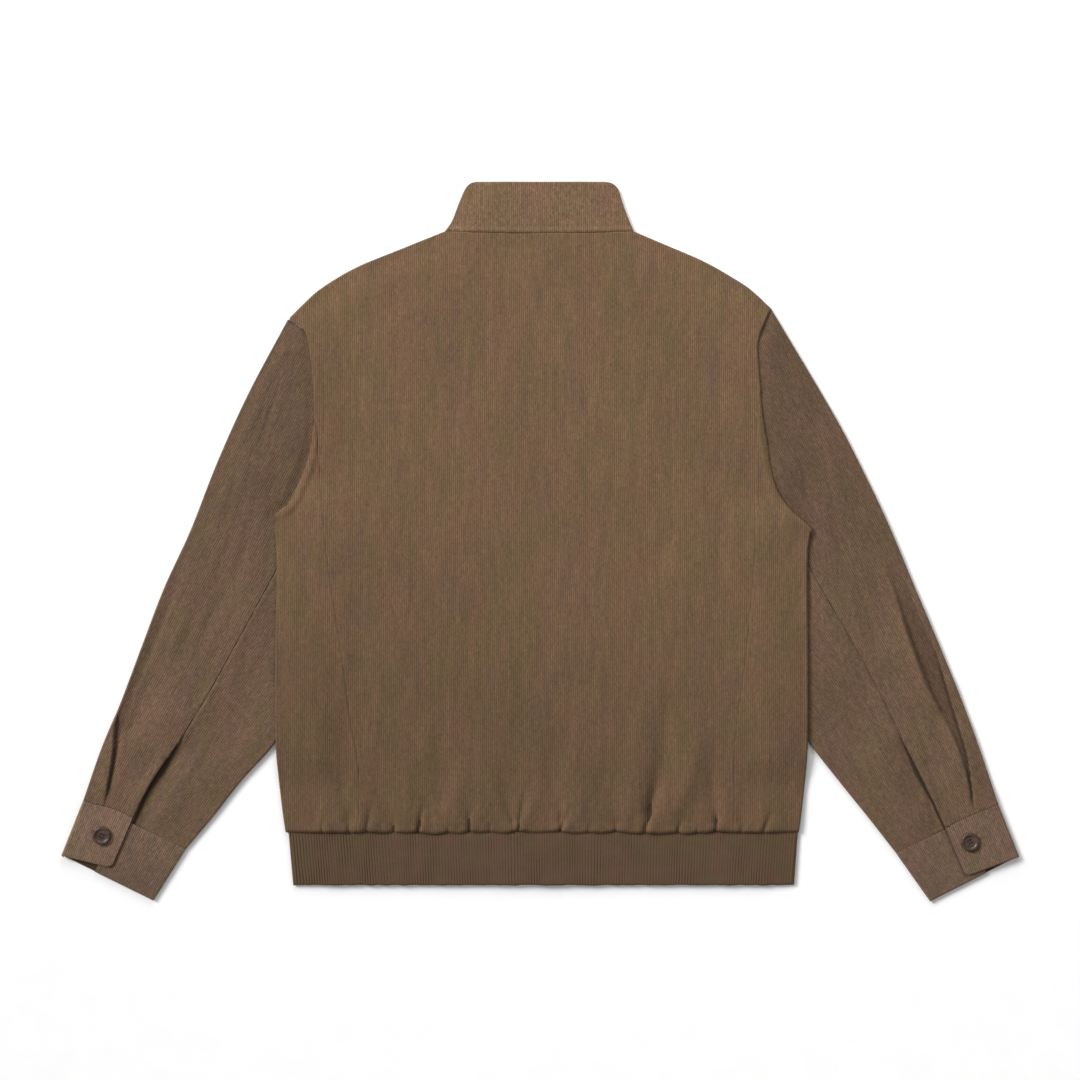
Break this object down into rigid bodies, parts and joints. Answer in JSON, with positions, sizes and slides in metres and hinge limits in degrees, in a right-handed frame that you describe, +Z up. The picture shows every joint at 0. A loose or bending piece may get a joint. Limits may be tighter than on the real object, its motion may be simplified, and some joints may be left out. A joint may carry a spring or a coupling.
{
  "type": "corduroy jacket",
  "caption": "Plain stand-collar corduroy blouson, laid flat on its front with sleeves spread: gathered onto a rib waistband, pleated sleeves with buttoned cuffs, zipped front.",
  "frame": {"origin": "on the floor under the middle of the jacket's box", "axes": "+X across the jacket towards the right of the picture, +Y from the hem to the collar, +Z up, away from the floor"},
  "size_m": [1, 0.752, 0.0121],
  "materials": {
    "corduroy_body": "warm brown corduroy, fine wales along the body, soft nap",
    "corduroy_sleeve": "the same corduroy, seen against its nap, a little darker and greyer",
    "corduroy_collar": "the same corduroy, a little lighter on the collar",
    "rib_knit": "dark brown rib knit",
    "button": "dark brown moulded button, satin",
    "zip_tape": "woven tape",
    "zip_metal": "antique brass, satin"
  },
  "bodies": {
    "jacket": {"back": "corduroy_body", "front_left": "corduroy_body", "front_right": "corduroy_body", "collar": "corduroy_collar", "waistband": "rib_knit", "sleeve_upper_left": "corduroy_sleeve", "sleeve_under_left": "corduroy_sleeve", "sleeve_upper_right": "corduroy_sleeve", "sleeve_under_right": "corduroy_sleeve", "cuff_left": "corduroy_sleeve", "cuff_right": "corduroy_sleeve", "cuff_button_left": "button", "cuff_button_right": "button", "zip_tape_left": "zip_tape", "zip_tape_right": "zip_tape", "zip_chain": "zip_metal", "zip_slider": "zip_metal"},
    "pull": {"zip_pull": "zip_metal"}
  },
  "joints": [
    {"name": "zip_pull_hinge", "type": "hinge", "parent": "jacket", "child": "pull", "pos_m": [0, 0.2915, 0.00165], "axis": [1, 0, 0], "range_deg": [0, 170]}
  ]
}
